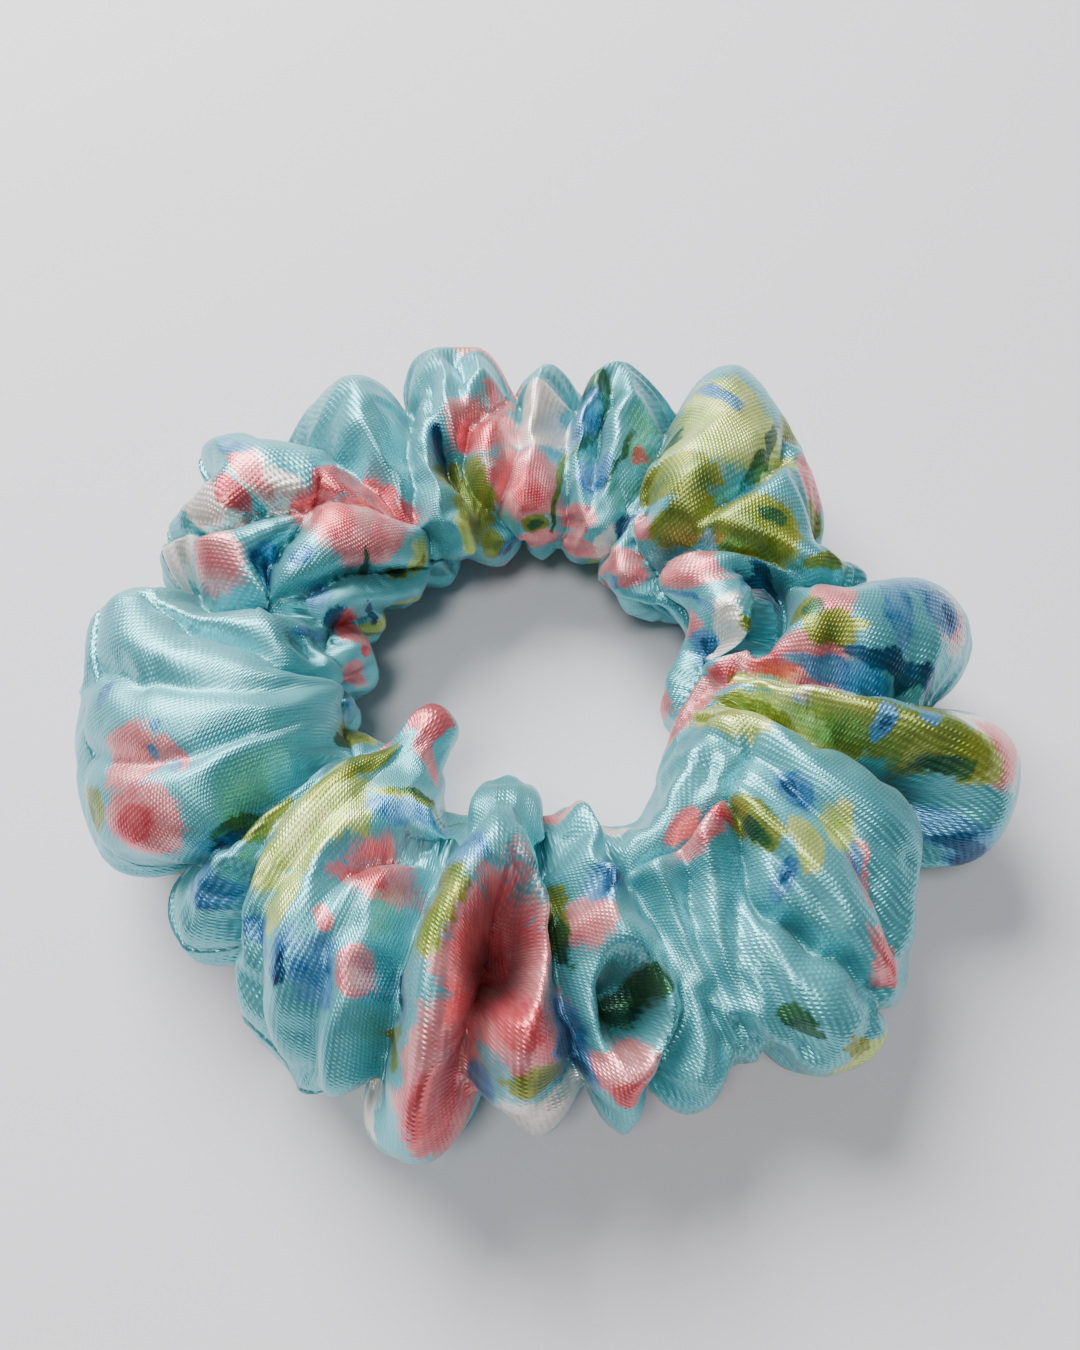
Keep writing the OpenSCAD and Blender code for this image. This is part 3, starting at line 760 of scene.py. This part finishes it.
def woven(t, where):
    """A fine twill that slants across the strip, and the single threads that cross it."""
    split = t.nodes.new("ShaderNodeSeparateXYZ")
    t.links.new(where, split.inputs[0])
    along, across = split.outputs[0], split.outputs[1]
    slant = maths(t, "ADD", maths(t, "MULTIPLY", along, 0.6), across)
    waves = [maths(t, "SINE", maths(t, "MULTIPLY", v, 2 * math.pi / pitch))
             for v, pitch in ((slant, TWILL), (along, THREADS))]
    twill, threads = (maths(t, "MULTIPLY_ADD", v, 0.5, 0.5) for v in waves)
    return maths(t, "MULTIPLY_ADD", maths(t, "MULTIPLY", twill, threads), 2.6, -0.65)


def dyed(t, weave, blot, fine, wash):
    """The printed colour, and the painted shade of how deep in a fold it is. Noise and the weave roughen each
    motif's edge.
    """
    edge = maths(t, "ADD", beyond(t, blot, 0.5, 0.75), beyond(t, fine, 0.5, 0.62))
    edge = maths(t, "ADD", edge, maths(t, "MULTIPLY", weave, 0.035))
    tone = beyond(t, blot, 0.36, 3.4, clamp=True)
    colour = mix(t, wash, *GROUND)
    for group, names in CHANNELS.items():
        attribute = node(t, "ShaderNodeAttribute", attribute_name=group)
        parts = t.nodes.new("ShaderNodeSeparateColor")
        t.links.new(attribute.outputs["Color"], parts.inputs[0])
        for name, amount in zip(names, parts.outputs):
            # the painted shade of the folds is no print colour: it darkens the colour further on
            if name == "fold_shade":
                fold_shade = amount
                continue
            # "present" keeps the noise from printing a colour where it has no motif
            cover = beyond(t, maths(t, "ADD", amount, edge), 0.38, 4.2, clamp=True)
            present = maths(t, "MULTIPLY", amount, 12.0, clamp=True)
            cover = maths(t, "MULTIPLY", maths(t, "MULTIPLY", cover, present), 0.95)
            colour = mix(t, cover, colour, mix(t, tone, *TINTS[name]))
    return colour, fold_shade


def satin():
    """Printed polyester satin, laid out by the strip's own lengths in millimetres."""
    m = bpy.data.materials.new("printed_satin")
    m.use_nodes = True
    t = m.node_tree
    t.nodes.clear()
    out = t.nodes.new("ShaderNodeOutputMaterial")
    p = node(t, "ShaderNodeBsdfPrincipled", Metallic=0.6, Roughness=0.33, Anisotropic=0.65)
    p.inputs["Specular IOR Level"].default_value = 0.8
    p.inputs["Sheen Weight"].default_value = 0.12
    p.inputs["Sheen Roughness"].default_value = 0.4
    p.inputs["Sheen Tint"].default_value = (0.9, 1.0, 1.0, 1)
    t.links.new(p.outputs[0], out.inputs[0])
    uv = node(t, "ShaderNodeUVMap", uv_map="cloth").outputs[0]
    tangent = node(t, "ShaderNodeTangent", direction_type="UV_MAP", uv_map="cloth")
    t.links.new(tangent.outputs[0], p.inputs["Tangent"])

    def noise(scale, detail, rough):
        n = node(t, "ShaderNodeTexNoise", Scale=scale, Detail=detail, Roughness=rough)
        t.links.new(uv, n.inputs["Vector"])
        return n.outputs["Fac"]

    weave = woven(t, uv)
    grain = noise(2.6, 2, 0.6)
    colour, fold_shade = dyed(t, weave, noise(0.35, 3, 0.6), noise(1.6, 2, 0.6), noise(0.12, 2, 0.5))
    uneven = maths(t, "ADD", maths(t, "MULTIPLY", weave, 0.08), beyond(t, grain, 0.5, 0.3))
    shade = maths(t, "ADD", 1.0, uneven)
    # painted shade: the colour darkens, down to a half, the deeper the cloth lies in a fold
    shade = maths(t, "MULTIPLY", shade, maths(t, "MULTIPLY_ADD", fold_shade, -0.5, 1.0))
    t.links.new(scaled(t, colour, shade), p.inputs["Base Color"])
    bump = node(t, "ShaderNodeBump", Strength=0.5, Distance=0.06 * MM)
    t.links.new(maths(t, "ADD", maths(t, "MULTIPLY", weave, 0.6), grain), bump.inputs["Height"])
    t.links.new(bump.outputs[0], p.inputs["Normal"])
    return m


def plain(name, colour, roughness=0.7, sheen=0.0, grain=None):
    """One colour. A grain, in spots per metre, makes it slightly uneven."""
    m = bpy.data.materials.new(name)
    m.use_nodes = True
    t = m.node_tree
    p = t.nodes["Principled BSDF"]
    p.inputs["Base Color"].default_value = colour
    p.inputs["Roughness"].default_value = roughness
    p.inputs["Sheen Weight"].default_value = sheen
    if grain:
        where = t.nodes.new("ShaderNodeTexCoord")
        n = node(t, "ShaderNodeTexNoise", Scale=grain, Detail=3.0)
        t.links.new(where.outputs["Object"], n.inputs["Vector"])
        b = node(t, "ShaderNodeBump", Strength=0.25, Distance=0.1 * MM)
        t.links.new(n.outputs["Fac"], b.inputs["Height"])
        t.links.new(b.outputs[0], p.inputs["Normal"])
        tone = t.nodes.new("ShaderNodeMapRange")
        t.links.new(n.outputs["Fac"], tone.inputs[0])
        tone.inputs[3].default_value, tone.inputs[4].default_value = 0.9, 1.06
        t.links.new(scaled(t, colour, tone.outputs[0]), p.inputs["Base Color"])
    return m


# ---------------------------------------------------------------- the cover
def cloth_lengths(points):
    """Where each point lies on the flat strip, along it and across it, and the strip's whole length."""
    along = np.linalg.norm(np.roll(points, -1, 1) - points, axis=-1)
    across = np.linalg.norm(points[1:] - points[:-1], axis=-1)
    k = len(points) // 4
    along = along[k:3 * k].mean(0)
    u = np.cumsum(np.concatenate([[0], along[:-1]]))
    v = np.cumsum(np.concatenate([[0], across.mean(1)]))
    return np.stack(np.broadcast_arrays(u, v[:, None]), -1), along.sum()


def lay_flat(me):
    """The UV map "cloth", in millimetres on the flat strip. Faces across its ends go on past the end."""
    places, whole = cloth_lengths(points)
    loops = np.empty(len(me.loops), int)
    me.loops.foreach_get("vertex_index", loops)
    uv = places.reshape(-1, 2)[loops].reshape(-1, 4, 2)
    u = uv[..., 0]
    over_the_end = (u.max(1) - u.min(1)) > whole / 2
    uv[..., 0] = np.where(over_the_end[:, None] & (u < whole / 2), u + whole, u)
    me.uv_layers.new(name="cloth").data.foreach_set("uv", uv.reshape(-1))


def print_on(me):
    """The print, and the painted shade of the folds' depth, as colour attributes."""
    amounts = printed(turns, rolls)
    # painted shade in the folds: none above 2 mm deep, full from 9 mm deep
    amounts["fold_shade"] = with_edges(np.clip((DEEP - 2.0) / 7.0, 0, 1))
    for group, names in CHANNELS.items():
        colour = np.zeros((turns.size, 4), np.float32)
        colour[:, 3] = 1
        for i, name in enumerate(names):
            colour[:, i] = amounts[name].reshape(-1)
        me.attributes.new(group, "FLOAT_COLOR", "POINT").data.foreach_set("color", colour.reshape(-1))


cover = grid_mesh("satin_cover", points)
lay_flat(cover.data)
print_on(cover.data)


# ---------------------------------------------------------------- the elastic and the threads
def place_on_cloth(turn, roll):
    """Points of the finished cloth at each turn and roll, and the way out of it there."""
    col = np.mod(turn / 360 * COLUMNS - 0.5, COLUMNS)
    row = np.mod((roll - seam_at(turn)) / 360, 1) * ROWS - 0.5
    c0, r0 = np.floor(col).astype(int), np.clip(np.floor(row).astype(int), 0, ROWS - 2)
    c1, a, b = (c0 + 1) % COLUMNS, (col - np.floor(col))[..., None], np.clip(row - r0, 0, 1)[..., None]
    c0 %= COLUMNS
    q = (P[r0, c0] * (1 - a) * (1 - b) + P[r0, c1] * a * (1 - b)
         + P[r0 + 1, c0] * (1 - a) * b + P[r0 + 1, c1] * a * b)
    n = np.cross(P[r0, (c0 + 2) % COLUMNS] - P[r0, c0 - 2],
                 P[np.minimum(r0 + 2, ROWS - 1), c0] - P[np.maximum(r0 - 2, 0), c0])
    n /= np.linalg.norm(n, axis=-1, keepdims=True)
    return q, n * np.sign((n * outward(turn, roll)).sum(-1, keepdims=True))


def swept(paths, radius, sides, name):
    """Round threads along paths[i][point], as one mesh. Their ends are closed and slightly thinner."""
    verts, faces = [], []
    for path in paths:
        ahead = np.gradient(path, axis=0)
        ahead /= np.linalg.norm(ahead, axis=-1, keepdims=True)
        up = np.where(np.abs(ahead[:, 2:]) > 0.8, np.array([[1.0, 0, 0]]), np.array([[0, 0, 1.0]]))
        side = np.cross(ahead, up)
        side /= np.linalg.norm(side, axis=-1, keepdims=True)
        up = np.cross(side, ahead)
        base, n = len(verts), len(path)
        for k in range(n):
            thin = 1 if 0 < k < n - 1 else 0.6
            for j in range(sides):
                a = 2 * math.pi * j / sides
                verts.append(path[k] + radius * thin * (math.cos(a) * side[k] + math.sin(a) * up[k]))
        for k in range(n - 1):
            i0, i1 = base + k * sides, base + (k + 1) * sides
            for j in range(sides):
                faces.append((i0 + j, i0 + (j + 1) % sides, i1 + (j + 1) % sides, i1 + j))
        faces.append(tuple(base + j for j in reversed(range(sides))))
        faces.append(tuple(base + (n - 1) * sides + j for j in range(sides)))
    return shown(name, (np.array(verts) * MM).tolist(), faces)


THREAD_R = 0.17
CORE_R = 0.27
LAP = math.degrees(12 / BRAID_R)  # the elastic's ends lie over each other along 12 mm
LAP_AT = 180.0


def circling(turn, radius, z):
    """Points at each turn and radius, at z above or below the ring's middle."""
    t = np.deg2rad(turn)
    return np.stack([radius * np.cos(t), radius * np.sin(t), 0 * t + z + MIDDLE_Z], -1)


def elastic_path(steps, start=0.0, end=1.0):
    """The elastic's middle line: turn and radius from its inner end, once round, and over its own start."""
    s = np.linspace(start, end, steps)
    turn = LAP_AT - LAP / 2 + s * (360 + LAP)
    # it starts to rise 30 degrees before the lap, and is on top 26 degrees further on
    rise = np.clip((turn - (LAP_AT + 330 - LAP / 2)) / 26, 0, 1)
    return turn, elastic_at(turn) + (BRAID_T + 0.06) * rise * rise * (3 - 2 * rise)


def braided_elastic():
    """A flat braid: one rib over each rubber core, crossed by slanting yarns, with two cut ends."""
    steps, across = 700, 30
    rib_h, yarn_h, yarn_l, slant = 0.16, 0.05, 1.3, 5
    turn, radius = elastic_path(steps)
    w = np.linspace(-1, 1, across)
    rib = np.abs(np.sin(w * CORES / 2 * math.pi))
    rounding = (1 - np.abs(w) ** 10) ** 0.5
    half_t = (BRAID_T / 2 - rib_h + rib_h * rib) * rounding
    z = w * BRAID_W / 2
    along = np.deg2rad(turn) * BRAID_R
    rows = []
    for face, order in ((1, range(across)), (-1, range(across - 2, 0, -1))):
        for k in order:
            lean = 1 if int((w[k] + 1) / 2 * CORES * 0.999) % 2 else -1
            yarn = yarn_h * np.sin(along * 2 * math.pi / yarn_l + lean * z[k] * slant)
            rows.append(circling(turn, radius + face * (half_t[k] + yarn * rounding[k]), z[k]))
    ob = grid_mesh("braided_elastic", np.array(rows), closed_across=True, closed_along=False)
    n, me = len(rows), ob.data
    caps = [tuple(i * steps for i in range(n)), tuple(i * steps + steps - 1 for i in reversed(range(n)))]
    co = [tuple(v.co) for v in me.vertices]
    quads = [tuple(f.vertices) for f in me.polygons]
    me.clear_geometry()
    me.from_pydata(co, [], quads + caps)
    me.polygons.foreach_set("use_smooth", np.ones(len(me.polygons), bool))
    return ob


def rubber_cores():
    """Rubber threads side by side in the braid, which end just inside its cut ends."""
    turn, radius = elastic_path(260, 0.0006, 0.9994)
    heights = [(i - (CORES - 1) / 2) * (BRAID_W - 0.6) / CORES for i in range(CORES)]
    return swept([circling(turn, radius, h) for h in heights], CORE_R, 8, "rubber_cores")


def lap_zigzag():
    """Zigzag stitching through both layers of the lap, on its outer face."""
    n = 14
    turn = LAP_AT + (np.linspace(0.1, 0.9, n) - 0.5) * LAP
    high = np.where(np.arange(n) % 2, 1, -1) * BRAID_W * 0.4
    fine = np.linspace(0, n - 1, n * 8 - 7)
    turn, high = np.interp(fine, np.arange(n), turn), np.interp(fine, np.arange(n), high)
    r = elastic_at(turn) + BRAID_T * 1.5 + 0.2
    return swept([circling(turn, r, high)], THREAD_R, 8, "lap_zigzag_thread")


def seam_thread(middle, name):
    """Machine stitches over the half of the lengthwise seam round the middle turn, inside its raw edges."""
    line = (FIRST[0] + LAST[0]) / 2
    # the two halves' threads stop just short of each other
    mine = np.abs(wrap(T[0] - middle)) < 89.6
    paths = [line[i:i + 4] for i in range(0, COLUMNS - 3, 4) if mine[i] and mine[i + 3]]
    return swept(paths, THREAD_R, 6, name)


def closing_thread():
    """Small hand stitches over the strip's joined ends, where the left puff turns under."""
    arch = np.array([-0.35, 0.1, 0.22, 0.26, 0.22, 0.1, -0.35])[:, None]
    turn, stitches = 186, 20
    paths = []
    for roll in np.linspace(-118, 18, stitches):
        q, n = place_on_cloth(turn + np.linspace(-1.3, 1.3, 7), roll + np.linspace(-2.0, 2.0, 7))
        paths.append(q + n * arch)
    return swept(paths, 0.16, 6, "closing_thread")


elastic, cores, zigzag = braided_elastic(), rubber_cores(), lap_zigzag()
thread_left, thread_right = seam_thread(180, "seam_thread_left"), seam_thread(0, "seam_thread_right")
closing = closing_thread()

# ---------------------------------------------------------------- floor, light and camera
bpy.ops.mesh.primitive_plane_add(size=3)
floor = bpy.context.object
floor.name = "floor"
floor.data.materials.append(plain("paper", srgb(214, 213, 218), 0.9))


def area_light(name, place, size, watts, colour):
    """A round soft light that shines at the ring's middle."""
    data = bpy.data.lights.new(name, "AREA")
    data.shape, data.size, data.energy, data.color = "DISK", size, watts, colour
    ob = bpy.data.objects.new(name, data)
    bpy.context.scene.collection.objects.link(ob)
    ob.location = place
    ob.rotation_euler = (Vector((0, 0, 0)) - Vector(place)).to_track_quat("-Z", "Y").to_euler()


def room():
    """A plain sky that is dim at the horizon and brighter overhead."""
    world = bpy.data.worlds.new("room")
    world.use_nodes = True
    sky = world.node_tree
    where = sky.nodes.new("ShaderNodeTexCoord")
    parts = sky.nodes.new("ShaderNodeSeparateXYZ")
    sky.links.new(where.outputs["Generated"], parts.inputs[0])
    tall = sky.nodes.new("ShaderNodeMapRange")
    sky.links.new(parts.outputs[2], tall.inputs[0])
    for i, value in enumerate((0.05, 0.9, 0.02, 0.2), 1):
        tall.inputs[i].default_value = value
    sky.nodes["Background"].inputs[0].default_value = (0.86, 0.9, 1.0, 1)
    sky.links.new(tall.outputs[0], sky.nodes["Background"].inputs[1])
    return world


area_light("window", (-0.3, 0.5, 0.6), 0.6, 19.0, (1.0, 1.0, 1.0))
area_light("lamp", (-0.1, -0.3, 0.9), 0.3, 4.6, (1.0, 0.99, 0.97))
bpy.context.scene.world = room()

LOOKING = np.array([-0.05223573, 0.51720157, -0.85426809])
RIGHT = np.array([0.99813576, 0, -0.06103277])
UP = -np.cross(LOOKING, RIGHT)
cam = bpy.data.objects.new("camera", bpy.data.cameras.new("camera"))
cam.data.sensor_width = 36
cam.data.lens = 26.67
cam.data.clip_start = 0.005
bpy.context.scene.collection.objects.link(cam)
cam.matrix_world = Matrix.Translation((0.00928, -0.06373, 0.1126)) @ Matrix(
    [[RIGHT[i], UP[i], -LOOKING[i]] for i in range(3)]).to_4x4()
bpy.context.scene.camera = cam

# ---------------------------------------------------------------- pieces, and the CAD nodes they stand for
yarn = plain("white_yarn", srgb(236, 235, 228), 0.8, 0.3, 900)
rubber = plain("natural_rubber", srgb(206, 184, 142), 0.55, 0.0, 500)
thread = plain("sewing_thread", srgb(110, 178, 190), 0.55, 0.3, 1500)
PIECES = [
    (cover, "printed_satin", satin(), ("cover_left_half", "cover_right_half")),
    (elastic, "white_yarn", yarn, ("elastic_braid",)),
    (cores, "natural_rubber", rubber, ("elastic_rubber_cores",)),
    (zigzag, "white_yarn", yarn, ("elastic_lap_stitches",)),
    (thread_left, "sewing_thread", thread, ("seam_stitches_left",)),
    (thread_right, "sewing_thread", thread, ("seam_stitches_right",)),
    (closing, "sewing_thread", thread, ("closing_seam_stitches",)),
]
for piece, slot, material, nodes in PIECES:
    piece.data.materials.append(material)
    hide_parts(*nodes)
    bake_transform(piece)
